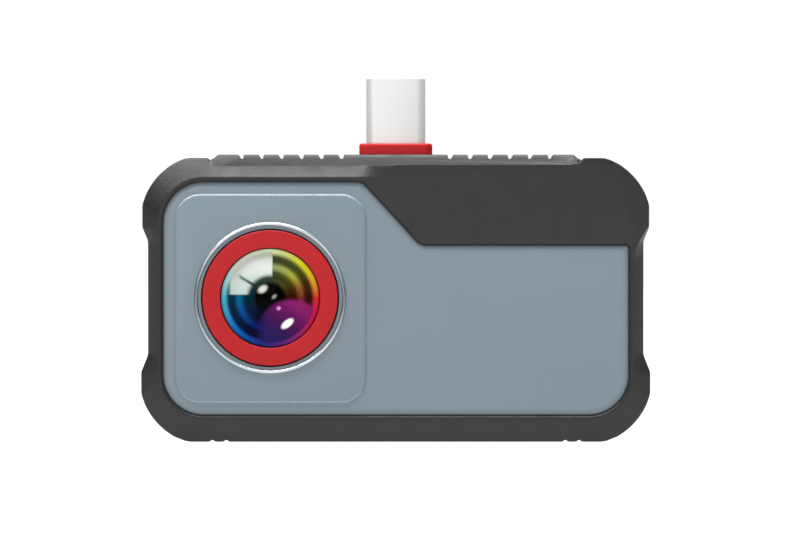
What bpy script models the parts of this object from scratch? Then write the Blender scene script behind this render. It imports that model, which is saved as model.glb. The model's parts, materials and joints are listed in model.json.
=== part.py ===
"""Plug-in thermal imaging camera for a phone.

Frame: +X to the right, +Z up towards the plug's tip, the lens looks along -Y.
The origin is the middle of the flat bottom edge, so the camera stands on Z = 0
and its thickness runs equally to both sides of Y = 0.

All dimensions below are in millimetres; every mesh is written in metres.
"""

import math

import bmesh
import bpy
from mathutils import Matrix, Vector

for old in list(bpy.data.objects):
    bpy.data.objects.remove(old, do_unlink=True)

MM = 0.001
GAP = 0.3                      # clearance between neighbouring pieces

# ---- outside of the rubber frame -------------------------------------------
WAIST_X = 34.40                # half width between the corner bumpers
LOW_BUMP_X = 35.36             # half width over the lower bumpers
HIGH_BUMP_X = 35.21            # half width over the upper bumpers
BUMP_TOP_Z = 39.43             # top of the upper bumpers
RAIL_TOP_Z = 39.89             # top of the toothed grip rail
CORNER_R = 9.6                 # bumper arc
LOW_ARC = (26.08, 9.10)        # centre of the lower bumper arc
HIGH_ARC = (25.95, 30.40)      # centre of the upper bumper arc
TOOTH_FIRST_X = 7.60           # first notch of the rail from the middle
TOOTH_PITCH = 2.78
TOOTH_COUNT = 6                # notches on each half
TOOTH_DEPTH = 0.56
TOOTH_HALF_TOP = 0.52
TOOTH_HALF_FLOOR = 0.17
FOOT_GROOVES = (23.55, 25.45)  # small grooves in the bottom edge
FOOT_GROOVE_DEPTH = 0.24

Y_EDGE_FRONT = -4.50           # where the frame's side wall turns into its front bevel
Y_BAND = -5.15                 # lower edge of the rail band
Y_FRAME = -6.20                # frame's front land and plateau
Y_BACK_EDGE = 5.60
Y_FRAME_BACK = 6.70
WEB_BACK_Y = -4.70             # back of the plateau web

# ---- face panel --------------------------------------------------------------
PANEL_LEFT, PANEL_RIGHT = -32.20, 32.25
PANEL_LOW, PANEL_HIGH, PANEL_STEP = 3.82, 36.01, 27.22
DIAG_TOP_X, DIAG_LOW_X = -4.70, 3.35
PANEL_R = 5.55
PANEL_FRONT_Y, PANEL_BACK_Y = -6.00, -5.00
PANEL_RIM = 0.70
PANEL_RIM_DROP = 0.22
PLINTH = (-30.65, -4.10, 5.40, 34.45)
PLINTH_R = 3.5
PLINTH_Y = -6.30
BEAD_R, BEAD_HALF, BEAD_Y = 10.36, 0.36, -6.62
PANEL_HOLE_R = 9.68
SEAM = 0.35                    # shadow gap round the panel

# ---- hard shells --------------------------------------------------------------
SHELL_X = 31.90
SHELL_LOW, SHELL_HIGH = 4.10, 35.70
SHELL_R = 5.20
SHELL_WALL = 1.40
SHELL_FRONT_Y, SHELL_FRONT_IN = -4.40, -3.20
SHELL_BACK_Y, SHELL_BACK_IN = 7.00, 5.40
PARTING = 0.60                 # each shell stops this far from Y = 0
POSTS = [(sx * 28.3, z) for sx in (-1, 1) for z in (7.6, 32.2)]
POST_R = 2.40

# ---- lens ------------------------------------------------------------------------
LENS_X, LENS_Z = -17.43, 20.00
RING_R, RING_BORE_R, RING_Y = 9.38, 6.95, -6.70
LENS_R, LENS_APEX_Y, LENS_EDGE_Y = 6.80, -7.00, -5.90

# ---- shutter ----------------------------------------------------------------------
PIVOT_X, PIVOT_Z = -6.60, 20.00
FLAG_REACH = 10.83             # pivot to the middle of the flag
FLAG_HALF = 3.80
PARKED_DEG = 132.0             # arm direction when the shutter is open

# ---- plug ---------------------------------------------------------------------------
PLUG_W, PLUG_T, PLUG_WALL = 8.25, 2.40, 0.30
PLUG_TIP_Z, PLUG_ROOT_Z = 50.50, 31.30
COLLAR_W, COLLAR_T, COLLAR_TOP_Z = 10.18, 4.80, 41.50


# ============================ helpers ===================================
def material(name, rgb, rough, metal=0.0, alpha=1.0):
    mat = bpy.data.materials.new(name)
    mat.use_nodes = True
    shader = mat.node_tree.nodes["Principled BSDF"]
    shader.inputs["Base Color"].default_value = (*rgb, 1.0)
    shader.inputs["Roughness"].default_value = rough
    shader.inputs["Metallic"].default_value = metal
    shader.inputs["Alpha"].default_value = alpha
    mat.diffuse_color = (*rgb, 1.0)
    return mat


def put(name, bm, mat, smooth=True, pivot=(0.0, 0.0, 0.0)):
    """Turn a millimetre bmesh into a named object in metres with its origin at pivot (mm)."""
    bmesh.ops.remove_doubles(bm, verts=bm.verts, dist=1e-5)
    bmesh.ops.recalc_face_normals(bm, faces=bm.faces)
    if bm.calc_volume(signed=True) < 0:
        bmesh.ops.reverse_faces(bm, faces=bm.faces)
    bmesh.ops.translate(bm, verts=bm.verts, vec=-Vector(pivot))
    bmesh.ops.scale(bm, verts=bm.verts, vec=(MM, MM, MM))
    mesh = bpy.data.meshes.new(name)
    bm.to_mesh(mesh)
    bm.free()
    obj = bpy.data.objects.new(name, mesh)
    obj.location = Vector(pivot) * MM
    bpy.context.scene.collection.objects.link(obj)
    mesh.materials.append(mat)
    if smooth:
        mesh.shade_smooth()
        mesh.set_sharp_from_angle(angle=math.radians(35))
    return obj


def carve(obj, bm, op="DIFFERENCE"):
    """Apply one exact Boolean with a millimetre bmesh; the tool body is not kept."""
    tool = put("tool_body", bm, obj.data.materials[0], smooth=False)
    tool.hide_render = True
    tool.display_type = "WIRE"
    mod = obj.modifiers.new("cut", "BOOLEAN")
    mod.operation = op
    mod.solver = "EXACT"
    mod.object = tool
    bpy.context.view_layer.update()
    deps = bpy.context.evaluated_depsgraph_get()
    result = bpy.data.meshes.new_from_object(obj.evaluated_get(deps))
    obj.modifiers.remove(mod)
    old, name = obj.data, obj.data.name
    obj.data = result
    bpy.data.meshes.remove(old)
    result.name = name
    bpy.data.objects.remove(tool, do_unlink=True)
    return obj


def finish_round(obj, angle=35):
    obj.data.shade_smooth()
    obj.data.set_sharp_from_angle(angle=math.radians(angle))


def tidy(obj):
    """Merge the hair-thin leftovers that a Boolean can leave behind."""
    bm = bmesh.new()
    bm.from_mesh(obj.data)
    bmesh.ops.remove_doubles(bm, verts=bm.verts, dist=2e-6)
    bmesh.ops.dissolve_degenerate(bm, edges=bm.edges, dist=2e-6)
    bm.to_mesh(obj.data)
    bm.free()


def arc(cx, cz, r, a0, a1, n):
    """Points of an arc in the XZ plane, degrees from +X towards +Z, both ends included."""
    return [(cx + r * math.cos(math.radians(a0 + (a1 - a0) * i / n)),
             cz + r * math.sin(math.radians(a0 + (a1 - a0) * i / n))) for i in range(n + 1)]


def circle(cx, cz, r, n):
    return arc(cx, cz, r, 0.0, 360.0 * (n - 1) / n, n - 1)


def fillet(corners, n=6):
    """Closed polygon from (x, z, radius) corners, each rounded by an arc."""
    out = []
    count = len(corners)
    for i, (x, z, r) in enumerate(corners):
        p = Vector((x, z))
        if r <= 0:
            out.append((x, z))
            continue
        a = (Vector(corners[i - 1][:2]) - p).normalized()
        b = (Vector(corners[(i + 1) % count][:2]) - p).normalized()
        half = math.acos(max(-1.0, min(1.0, a.dot(b)))) / 2
        reach = r / math.tan(half)
        centre = p + (a + b).normalized() * (r / math.sin(half))
        start, end = p + a * reach - centre, p + b * reach - centre
        a0, a1 = math.atan2(start.y, start.x), math.atan2(end.y, end.x)
        turn = (a1 - a0 + math.pi) % (2 * math.pi) - math.pi
        for k in range(n + 1):
            t = a0 + turn * k / n
            out.append((centre.x + r * math.cos(t), centre.y + r * math.sin(t)))
    return out


def rounded(x0, x1, z0, z1, r, n=6):
    return fillet([(x0, z0, r), (x1, z0, r), (x1, z1, r), (x0, z1, r)], n)


def loft(loops, caps=True):
    """Solid through closed loops of equal length, each a list of (x, y, z)."""
    bm = bmesh.new()
    rings = [[bm.verts.new(p) for p in loop] for loop in loops]
    n = len(rings[0])
    for a, b in zip(rings, rings[1:]):
        for i in range(n):
            j = (i + 1) % n
            bm.faces.new((a[i], a[j], b[j], b[i]))
    if caps:
        bm.faces.new(list(reversed(rings[0])))
        bm.faces.new(rings[-1])
    bmesh.ops.recalc_face_normals(bm, faces=bm.faces)
    return bm


def prism(loop, y0, y1):
    return loft([[(x, y, z) for x, z in loop] for y in (y0, y1)])


def prism_z(loop, z0, z1):
    """Extrude an XY outline along Z."""
    return loft([[(x, y, z) for x, y in loop] for z in (z0, z1)])


def plate(outer, holes, y0, y1):
    """Flat plate in the XZ plane with through holes."""
    bm = bmesh.new()
    for y in (y0, y1):
        edges = []
        for loop in [outer] + list(holes):
            ring = [bm.verts.new((x, y, z)) for x, z in loop]
            edges += [bm.edges.new((ring[i], ring[(i + 1) % len(ring)])) for i in range(len(ring))]
        bmesh.ops.triangle_fill(bm, use_beauty=True, use_dissolve=False, edges=edges)
    start = 0
    bm.verts.ensure_lookup_table()
    total = len(outer) + sum(len(h) for h in holes)
    for loop in [outer] + list(holes):
        n = len(loop)
        for i in range(n):
            j = (i + 1) % n
            bm.faces.new((bm.verts[start + i], bm.verts[start + j],
                          bm.verts[total + start + j], bm.verts[total + start + i]))
        start += n
    bmesh.ops.recalc_face_normals(bm, faces=bm.faces)
    return bm


def block(x0, x1, y0, y1, z0, z1, bevel=0.0):
    bm = bmesh.new()
    bmesh.ops.create_cube(bm, size=1.0)
    bmesh.ops.scale(bm, verts=bm.verts, vec=(x1 - x0, y1 - y0, z1 - z0))
    bmesh.ops.translate(bm, verts=bm.verts, vec=((x0 + x1) / 2, (y0 + y1) / 2, (z0 + z1) / 2))
    if bevel:
        bmesh.ops.bevel(bm, geom=bm.edges, offset=bevel, segments=1, affect="EDGES")
    return bm


def turned(profile, cx, cz, n=32):
    """Revolve a closed (r, y) profile about the axis along Y through (cx, cz).
    Points with r = 0 become one vertex on the axis."""
    bm = bmesh.new()
    rows = []
    for r, y in profile:
        if r < 1e-6:
            rows.append([bm.verts.new((cx, y, cz))] * n)
        else:
            rows.append([bm.verts.new((cx + r * math.cos(2 * math.pi * k / n), y,
                                       cz + r * math.sin(2 * math.pi * k / n))) for k in range(n)])
    m = len(rows)
    for i in range(m):
        a, b = rows[i], rows[(i + 1) % m]
        for k in range(n):
            j = (k + 1) % n
            face = []
            for v in (a[k], a[j], b[j], b[k]):
                if v not in face:
                    face.append(v)
            if len(face) > 2:
                bm.faces.new(face)
    bmesh.ops.recalc_face_normals(bm, faces=bm.faces)
    return bm


def rod(cx, cz, r, y0, y1, n=24):
    return turned([(0, y0), (r, y0), (r, y1), (0, y1)], cx, cz, n)


def screw(name, cx, cz, tip_y, seat_y, shaft_r, head_r, head_h, mat):
    """Pan-head screw along Y, head towards +Y, with a hexagon socket in the head."""
    top = seat_y + head_h
    obj = put(name, turned([(0, tip_y), (shaft_r * 0.6, tip_y), (shaft_r, tip_y + 0.4), (shaft_r, seat_y),
                            (head_r, seat_y), (head_r, top - 0.25), (head_r - 0.25, top), (0, top)],
                           cx, cz, 12), mat)
    carve(obj, prism([(cx + head_r * 0.5 * math.cos(math.radians(60 * k)),
                       cz + head_r * 0.5 * math.sin(math.radians(60 * k))) for k in range(6)],
                     top - head_h * 0.55, top + 1.0))
    finish_round(obj)
    return obj


# ============================ materials ===================================
RUBBER = material("black_rubber", (0.045, 0.045, 0.05), 0.62)
SHELL = material("black_nylon", (0.04, 0.04, 0.043), 0.5)
PANEL = material("grey_blue_panel", (0.24, 0.30, 0.34), 0.38)
FILM = material("adhesive_film", (0.035, 0.035, 0.037), 0.6)
SEAL = material("seal_rubber", (0.02, 0.02, 0.02), 0.7)
RED = material("red_anodised", (0.52, 0.03, 0.04), 0.35)
COLLAR = material("red_collar", (0.43, 0.03, 0.03), 0.4)
LENS = material("coated_lens", (0.03, 0.05, 0.10), 0.05)
BLACK_AL = material("black_anodised", (0.03, 0.03, 0.03), 0.4, 0.8)
STEEL = material("plug_steel", (0.78, 0.78, 0.77), 0.25, 1.0)
SCREW_STEEL = material("screw_steel", (0.30, 0.30, 0.31), 0.3, 1.0)
BLADE = material("blade_paint", (0.03, 0.03, 0.03), 0.7)
MAGNET = material("magnet_plate", (0.55, 0.55, 0.56), 0.3, 1.0)
IRON = material("yoke_iron", (0.45, 0.44, 0.42), 0.4, 1.0)
BOBBIN = material("bobbin_nylon", (0.75, 0.72, 0.62), 0.5)
COPPER = material("enamelled_copper", (0.62, 0.25, 0.10), 0.35, 1.0)
CERAMIC = material("package_ceramic", (0.70, 0.68, 0.64), 0.6)
GERMANIUM = material("germanium", (0.20, 0.21, 0.22), 0.1, 0.9)
SILICON = material("array_silicon", (0.16, 0.12, 0.20), 0.15, 0.6)
BOARD = material("solder_mask", (0.01, 0.09, 0.05), 0.4)
CHIP = material("chip_epoxy", (0.02, 0.02, 0.022), 0.55)
CONNECTOR = material("connector_nylon", (0.70, 0.66, 0.55), 0.5)
FLEX = material("polyimide_flex", (0.45, 0.20, 0.03), 0.35)
CAN = material("tinned_can", (0.68, 0.68, 0.66), 0.35, 1.0)
PAD = material("silicone_pad", (0.35, 0.45, 0.60), 0.8)
ALU = material("spreader_aluminium", (0.72, 0.72, 0.73), 0.4, 1.0)
GOLD = material("contact_gold", (0.80, 0.55, 0.20), 0.3, 1.0)
INSULATOR = material("plug_insulator", (0.03, 0.03, 0.03), 0.5)


# ============================ outlines ===================================
def half_outline():
    """Right half of the frame's outline, from the bottom middle round to the top middle."""
    pts = [(0.0, 0.0)]
    for gx in FOOT_GROOVES:
        pts += [(gx - 0.55, 0.0), (gx, FOOT_GROOVE_DEPTH), (gx + 0.55, 0.0)]
    a_low = math.degrees(math.asin(-LOW_ARC[1] / CORNER_R))
    a_side = -math.degrees(math.acos((LOW_BUMP_X - LOW_ARC[0]) / CORNER_R))
    pts += arc(LOW_ARC[0], LOW_ARC[1], CORNER_R, a_low, a_side, 9)
    pts += [(LOW_BUMP_X, 9.7), (WAIST_X, 12.1), (WAIST_X, 27.9), (HIGH_BUMP_X, 29.8)]
    b_side = math.degrees(math.acos((HIGH_BUMP_X - HIGH_ARC[0]) / CORNER_R))
    b_top = math.degrees(math.asin((BUMP_TOP_Z - HIGH_ARC[1]) / CORNER_R))
    pts += arc(HIGH_ARC[0], HIGH_ARC[1], CORNER_R, b_side, b_top, 9)
    pts += [(26.05, BUMP_TOP_Z), (25.70, 39.12), (24.65, RAIL_TOP_Z)]
    for k in reversed(range(TOOTH_COUNT)):
        x = TOOTH_FIRST_X + TOOTH_PITCH * k
        floor = RAIL_TOP_Z - TOOTH_DEPTH
        pts += [(x + TOOTH_HALF_TOP, RAIL_TOP_Z), (x + TOOTH_HALF_FLOOR, floor),
                (x - TOOTH_HALF_FLOOR, floor), (x - TOOTH_HALF_TOP, RAIL_TOP_Z)]
    pts += [(0.0, RAIL_TOP_Z)]
    return pts


def outline():
    right = half_outline()
    left = [(-x, z) for x, z in reversed(right[1:-1])]
    return right + left


def panel_outline(grow=0.0, n=7):
    """Face panel with its stepped upper edge; grow moves every edge outwards."""
    # the diagonal's own offset, measured along X at the upper and lower edge
    run = (DIAG_LOW_X - DIAG_TOP_X) / (PANEL_HIGH - PANEL_STEP)
    top_x = DIAG_TOP_X - grow * run + grow * math.hypot(1.0, run)
    low_x = DIAG_LOW_X - grow * run + grow * math.hypot(1.0, run)
    return fillet([
        (PANEL_LEFT - grow, PANEL_LOW - grow, PANEL_R + grow),
        (PANEL_RIGHT + grow, PANEL_LOW - grow, PANEL_R + grow),
        (PANEL_RIGHT + grow, PANEL_STEP + grow, 0.45 + max(grow, 0.0)),
        (low_x, PANEL_STEP + grow, max(2.0 - grow, 0.5)),
        (top_x, PANEL_HIGH + grow, 1.7 + grow),
        (PANEL_LEFT - grow, PANEL_HIGH + grow, PANEL_R + grow)], n)


def land_outline():
    """Inner edge of the frame's front bevel: it follows the panel on the left, the
    bottom and the right, and climbs to the rail where the plateau is."""
    e = SEAM + 0.25
    r = PANEL_R + e
    return fillet([
        (PANEL_LEFT - e, PANEL_LOW - e, r),
        (PANEL_RIGHT + e + 0.1, PANEL_LOW - e, r),
        (PANEL_RIGHT + e + 0.1, 38.35, 6.0),
        (-0.3, 38.35, 1.2),
        (-3.6, PANEL_HIGH + e, 1.2),
        (PANEL_LEFT - e, PANEL_HIGH + e, r)], 10)


def nearest(loop, p):
    """Closest point of a closed polyline to p."""
    best, found = 1e9, None
    for i in range(len(loop)):
        a, b = Vector(loop[i]), Vector(loop[(i + 1) % len(loop)])
        d = b - a
        t = 0.0 if d.length_squared < 1e-12 else max(0.0, min(1.0, (Vector(p) - a).dot(d) / d.length_squared))
        q = a + d * t
        if (Vector(p) - q).length < best:
            best, found = (Vector(p) - q).length, q
    return found


OUT = outline()
LAND = land_outline()
SHELL_LOOP = rounded(-SHELL_X, SHELL_X, SHELL_LOW, SHELL_HIGH, SHELL_R, 6)
POCKET = rounded(-SHELL_X - GAP, SHELL_X + GAP, SHELL_LOW - GAP, SHELL_HIGH + GAP, SHELL_R + GAP, 6)


# ============================ rubber frame ===================================
def frame_body():
    back_land = rounded(-SHELL_X - 1.2, SHELL_X + 1.2, SHELL_LOW - 2.6, SHELL_HIGH + 2.4, SHELL_R + 2.6, 10)
    n = len(OUT)
    inner = [nearest(LAND, p) for p in OUT]
    back = [nearest(back_land, p) for p in OUT]
    band = []
    for p, q in zip(OUT, inner):
        v = Vector(p)
        d = q - v
        band.append(v + d * min(0.42, 1.0))
    loops = [
        [(q.x, Y_FRAME_BACK, q.y) for q in back],
        [(x, Y_BACK_EDGE, z) for x, z in OUT],
        [(x, Y_EDGE_FRONT, z) for x, z in OUT],
        [(v.x, Y_BAND, v.y) for v in band],
        [(q.x, Y_FRAME, q.y) for q in inner],
    ]
    bm = loft(loops)
    bmesh.ops.triangulate(bm, faces=[f for f in bm.faces if len(f.verts) > 4])
    return bm


frame = put("rubber_bumper_frame", frame_body(), RUBBER)
carve(frame, prism(POCKET, WEB_BACK_Y, 12.0))
carve(frame, prism(panel_outline(SEAM), -12.0, WEB_BACK_Y + 0.6))
carve(frame, prism_z([(x, z) for x, z in rounded(-COLLAR_W / 2 - GAP, COLLAR_W / 2 + GAP,
                                                   -COLLAR_T / 2 - GAP, COLLAR_T / 2 + GAP, 1.5, 5)], 34.0, 45.0))
tidy(frame)
finish_round(frame, 25)


# ============================ face panel ===================================
def panel_body():
    """Thin panel with a bevelled rim."""
    outer = panel_outline(0.0)
    inner = panel_outline(-PANEL_RIM)
    n = len(outer)
    bm = loft([
        [(x, PANEL_BACK_Y, z) for x, z in outer],
        [(x, PANEL_FRONT_Y + PANEL_RIM_DROP, z) for x, z in outer],
        [(x, PANEL_FRONT_Y, z) for x, z in inner]])
    return bm


panel = put("face_panel", panel_body(), PANEL)
p0, p1, p2, p3 = PLINTH
carve(panel, loft([[(x, y, z) for x, z in rounded(p0 + s, p1 - s, p2 + s, p3 - s, PLINTH_R - s, 6)]
                   for y, s in ((-5.6, 0.0), (PLINTH_Y + 0.22, 0.0), (PLINTH_Y, 0.3))]), "UNION")
carve(panel, turned([(BEAD_R - BEAD_HALF, -5.6), (BEAD_R - BEAD_HALF, BEAD_Y + 0.25), (BEAD_R - 0.15, BEAD_Y),
                     (BEAD_R + 0.15, BEAD_Y), (BEAD_R + BEAD_HALF, BEAD_Y + 0.25), (BEAD_R + BEAD_HALF, -5.6)],
                    LENS_X, LENS_Z, 48), "UNION")
carve(panel, rod(LENS_X, LENS_Z, PANEL_HOLE_R, -9.0, -3.0, 48))
tidy(panel)
finish_round(panel)

put("panel_adhesive", plate(panel_outline(-1.2, 4), [circle(LENS_X, LENS_Z, 10.6, 32)], -4.85, -4.55), FILM)


# ============================ hard shells ===================================
def shell_box(y_skin, y_in, y_open):
    """Tray: a skin with a side wall, open towards the parting plane."""
    inner = rounded(-SHELL_X + SHELL_WALL, SHELL_X - SHELL_WALL, SHELL_LOW + SHELL_WALL,
                    SHELL_HIGH - SHELL_WALL, SHELL_R - SHELL_WALL, 6)
    bm = bmesh.new()
    rim = 0.35
    side = -1.0 if y_skin < y_in else 1.0
    soft = rounded(-SHELL_X + rim, SHELL_X - rim, SHELL_LOW + rim, SHELL_HIGH - rim, SHELL_R - rim, 6)
    rings = [
        [(x, y_in, z) for x, z in inner],
        [(x, y_open, z) for x, z in inner],
        [(x, y_open, z) for x, z in SHELL_LOOP],
        [(x, y_skin - side * rim, z) for x, z in SHELL_LOOP],
        [(x, y_skin, z) for x, z in soft]]
    bm.free()
    return loft(rings)


front = put("front_shell", shell_box(SHELL_FRONT_Y, SHELL_FRONT_IN, -PARTING), SHELL)
for px, pz in POSTS:
    carve(front, rod(px, pz, POST_R, SHELL_FRONT_IN - 0.6, -PARTING, 20), "UNION")
BOARD_SCREWS = [(0.6, 8.2), (22.8, 8.2), (22.8, 28.4)]
for px, pz in BOARD_SCREWS:
    carve(front, rod(px, pz, 1.9, SHELL_FRONT_IN - 0.6, -0.7, 16), "UNION")
BRACKET_SCREWS = [(-6.3, 32.9), (6.3, 32.9)]
for px, pz in BRACKET_SCREWS:
    carve(front, rod(px, pz, 1.6, SHELL_FRONT_IN - 0.6, -PARTING, 16), "UNION")
carve(front, rod(LENS_X, LENS_Z, 8.9, -6.0, -1.0, 48))
for px, pz in POSTS:
    carve(front, rod(px, pz, 1.1, -2.6, 1.0, 12))
for px, pz in BOARD_SCREWS + BRACKET_SCREWS:
    carve(front, rod(px, pz, 0.9, -2.9, 2.0, 12))
carve(front, block(-PLUG_W / 2 - GAP, PLUG_W / 2 + GAP, -PLUG_T / 2 - GAP, 3.0, 33.9, 38.0))
tidy(front)
finish_round(front)

rear = put("rear_shell", shell_box(SHELL_BACK_Y, SHELL_BACK_IN, PARTING), SHELL)
for px, pz in POSTS:
    carve(rear, rod(px, pz, POST_R, PARTING, SHELL_BACK_IN + 0.6, 20), "UNION")
for px, pz in POSTS:
    carve(rear, rod(px, pz, 1.1, -1.0, 9.0, 12))
    carve(rear, rod(px, pz, 1.95, 5.75, 9.0, 20))
carve(rear, block(-PLUG_W / 2 - GAP, PLUG_W / 2 + GAP, -3.0, PLUG_T / 2 + GAP, 33.9, 38.0))
tidy(rear)
finish_round(rear)

# seal between the shells, open where the plug leaves the case
gasket = put("case_gasket", plate(
    rounded(-SHELL_X + 0.1, SHELL_X - 0.1, SHELL_LOW + 0.1, SHELL_HIGH - 0.1, SHELL_R - 0.1, 6),
    [rounded(-SHELL_X + 1.3, SHELL_X - 1.3, SHELL_LOW + 1.3, SHELL_HIGH - 1.3, SHELL_R - 1.3, 6)],
    -0.3, 0.3), SEAL)
carve(gasket, block(-PLUG_W / 2 - GAP, PLUG_W / 2 + GAP, -3.0, 3.0, 33.0, 38.0))

for i, (px, pz) in enumerate(POSTS, 1):
    screw("case_screw_%d" % i, px, pz, -2.2, 6.05, 0.8, 1.6, 0.8, SCREW_STEEL)

# ============================ lens stack ===================================
put("lens_ring", turned([
    (RING_BORE_R, RING_Y + 0.12), (RING_BORE_R + 0.12, RING_Y), (RING_R - 0.15, RING_Y),
    (RING_R, RING_Y + 0.15), (RING_R, -5.2), (8.6, -5.2), (8.6, -3.5), (8.05, -3.5), (8.05, -4.95),
    (RING_BORE_R, -4.95)], LENS_X, LENS_Z, 48), RED)
put("ring_seal", turned([(8.9, -5.05), (9.5, -5.05), (9.5, -4.65), (8.9, -4.65)], LENS_X, LENS_Z, 28), SEAL)


def dome(r, edge_y, apex_y, n=5):
    """Meridian of a spherical cap from the rim to the axis."""
    sag = abs(apex_y - edge_y)
    ball = (r * r + sag * sag) / (2 * sag)
    side = 1.0 if apex_y > edge_y else -1.0
    pts = []
    for k in range(n + 1):
        a = math.asin(r / ball) * (1 - k / n)
        pts.append((ball * math.sin(a), apex_y - side * (ball - ball * math.cos(a))))
    return pts


put("front_lens", turned([(0.0, -4.95), (LENS_R, -4.95)] + dome(LENS_R, LENS_EDGE_Y, LENS_APEX_Y),
                         LENS_X, LENS_Z, 48), LENS)
put("lens_barrel", turned([(5.7, -4.65), (7.7, -4.65), (7.7, -0.9), (5.35, -0.9), (5.35, -2.75), (4.5, -2.75),
                           (4.5, -3.05), (5.7, -3.05)], LENS_X, LENS_Z, 32), BLACK_AL)
put("lens_spacer", turned([(4.8, -4.65), (5.4, -4.65), (5.4, -3.3), (4.8, -3.3)], LENS_X, LENS_Z, 24), BLACK_AL)
put("rear_lens", turned([(0.0, -1.9), (2.6, -1.8), (5.05, -1.5), (5.05, -2.45)]
                        + dome(4.4, -2.45, -2.95, 3), LENS_X, LENS_Z, 24), GERMANIUM)
put("lens_retainer", turned([(4.0, -1.2), (5.05, -1.2), (5.05, -0.7), (4.0, -0.7)], LENS_X, LENS_Z, 24), BLACK_AL)

PILLARS = [(LENS_X - 7.25, LENS_Z + 7.25), (LENS_X - 7.25, LENS_Z - 7.25), (LENS_X + 7.25, LENS_Z - 7.25)]
mount = put("lens_mount", plate(rounded(LENS_X - 8.9, LENS_X + 8.9, LENS_Z - 8.9, LENS_Z + 8.9, 1.8, 5),
                                [circle(LENS_X, LENS_Z, 8.0, 40)], -2.9, -0.2), BLACK_AL)
for px, pz in PILLARS:
    carve(mount, rod(px, pz, 1.35, -1.6, 3.1, 16), "UNION")
for px, pz in PILLARS:
    carve(mount, rod(px, pz, 0.85, -1.2, 6.0, 12))
tidy(mount)
finish_round(mount)
for i, (px, pz) in enumerate(PILLARS, 1):
    screw("mount_screw_%d" % i, px, pz, -0.8, 4.25, 0.55, 1.1, 0.6, SCREW_STEEL)

# ============================ shutter ===================================
put("shutter_base", plate(
    [(-26.3, 10.9), (-2.7, 10.9), (-2.7, 27.0), (-9.0, 29.5), (-11.0, 33.8), (-22.0, 33.8), (-26.3, 29.3)],
    [circle(LENS_X, LENS_Z, 4.4, 28), circle(PIVOT_X, PIVOT_Z, 0.5, 12)]
    + [circle(px, pz, 1.65, 14) for px, pz in PILLARS], 0.1, 0.6), SHELL)

park = math.radians(PARKED_DEG)


def from_pivot(r, s):
    """Point r along the parked arm and s across it, in the XZ plane."""
    return (PIVOT_X + r * math.cos(park) - s * math.sin(park), PIVOT_Z + r * math.sin(park) + s * math.cos(park))


hub = [(1.3 * math.cos(math.radians(a)), 1.3 * math.sin(math.radians(a))) for a in range(60, 301, 20)]
flag = hub[:] + [(4.6, -0.65)] + [
    (FLAG_REACH - FLAG_HALF, -FLAG_HALF + 0.6), (FLAG_REACH - FLAG_HALF + 0.6, -FLAG_HALF),
    (FLAG_REACH + FLAG_HALF - 0.6, -FLAG_HALF), (FLAG_REACH + FLAG_HALF, -FLAG_HALF + 0.6),
    (FLAG_REACH + FLAG_HALF, FLAG_HALF - 0.6), (FLAG_REACH + FLAG_HALF - 0.6, FLAG_HALF),
    (FLAG_REACH - FLAG_HALF + 0.6, FLAG_HALF), (FLAG_REACH - FLAG_HALF, FLAG_HALF - 0.6), (4.6, 0.65)]
blade_loop = [from_pivot(r, s) for r, s in flag]
put("shutter_blade", plate(blade_loop, [circle(PIVOT_X, PIVOT_Z, 0.5, 12)], 0.8, 1.0), BLADE,
    smooth=False, pivot=(PIVOT_X, 0.0, PIVOT_Z))
put("shutter_magnet", turned([(0.5, 1.3), (1.5, 1.3), (1.5, 3.0), (0.5, 3.0)], PIVOT_X, PIVOT_Z, 24), MAGNET,
    pivot=(PIVOT_X, 0.0, PIVOT_Z))
put("shutter_pin", rod(PIVOT_X, PIVOT_Z, 0.4, 0.15, 3.3, 12), SCREW_STEEL)
put("shutter_yoke", prism([(-8.4, 16.4), (-3.1, 16.4), (-3.1, 23.6), (-8.4, 23.6), (-8.4, 22.5), (-4.1, 22.5),
                           (-4.1, 17.5), (-8.4, 17.5)], 1.6, 2.6), IRON, smooth=False)


def ring_z(x0, x1, y0, y1, z0, z1, hx0, hx1, hy0, hy1):
    """Square tube standing along Z."""
    bm = bmesh.new()
    loops = []
    for z in (z0, z1):
        loops.append([bm.verts.new((x, y, z)) for x, y in ((x0, y0), (x1, y0), (x1, y1), (x0, y1))])
        loops.append([bm.verts.new((x, y, z)) for x, y in ((hx0, hy0), (hx1, hy0), (hx1, hy1), (hx0, hy1))])
    a, b, c, d = loops
    for i in range(4):
        j = (i + 1) % 4
        bm.faces.new((a[i], a[j], c[j], c[i]))
        bm.faces.new((b[j], b[i], d[i], d[j]))
        bm.faces.new((a[j], a[i], b[i], b[j]))
        bm.faces.new((c[i], c[j], d[j], d[i]))
    bmesh.ops.recalc_face_normals(bm, faces=bm.faces)
    return bm


bobbin = put("coil_bobbin", ring_z(-4.55, -2.65, 1.15, 3.05, 18.0, 22.0, -4.25, -2.95, 1.45, 2.75), BOBBIN, smooth=False)
for z0, z1 in ((17.8, 18.2), (21.8, 22.2)):
    carve(bobbin, ring_z(-4.9, -2.4, 0.85, 3.3, z0, z1, -4.25, -2.95, 1.45, 2.75), "UNION")
tidy(bobbin)
coil = put("shutter_coil", ring_z(-4.9, -2.4, 0.85, 3.3, 18.4, 21.6, -4.65, -2.55, 1.05, 3.15), COPPER, smooth=False)

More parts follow.
